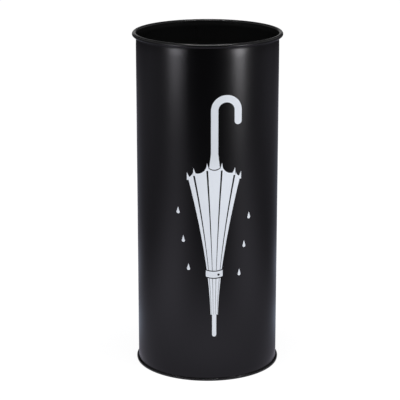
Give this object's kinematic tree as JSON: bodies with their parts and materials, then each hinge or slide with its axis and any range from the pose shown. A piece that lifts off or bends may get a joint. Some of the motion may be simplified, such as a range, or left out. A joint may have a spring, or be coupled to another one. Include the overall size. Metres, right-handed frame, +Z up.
{
  "type": "umbrella stand",
  "caption": "Tall round black sheet-steel tube with a rolled rim, a crimped base, foam floor pads, a lift-out drip tray and a white umbrella decal; holds wet umbrellas upright.",
  "frame": {"origin": "on the floor at the middle of the stand", "axes": "+Z up along the tube's axis, -Y out of the front where the decal is, +X to the right of someone who looks at the decal"},
  "size_m": [0.2148, 0.2148, 0.49],
  "materials": {
    "black_paint": "satin",
    "tray_plastic": "matte",
    "pad_foam": "matte",
    "white_print": "satin"
  },
  "bodies": {
    "stand": {"body_shell": "black_paint", "base_plate": "black_paint", "floor_pad_1": "pad_foam", "floor_pad_2": "pad_foam", "floor_pad_3": "pad_foam", "floor_pad_4": "pad_foam", "umbrella_decal": "white_print"},
    "tray": {"drip_tray": "tray_plastic"}
  },
  "joints": [
    {"name": "tray_lift", "type": "slide", "parent": "stand", "child": "tray", "axis": [0, 0, 1], "range_m": [0, 0.5]}
  ]
}
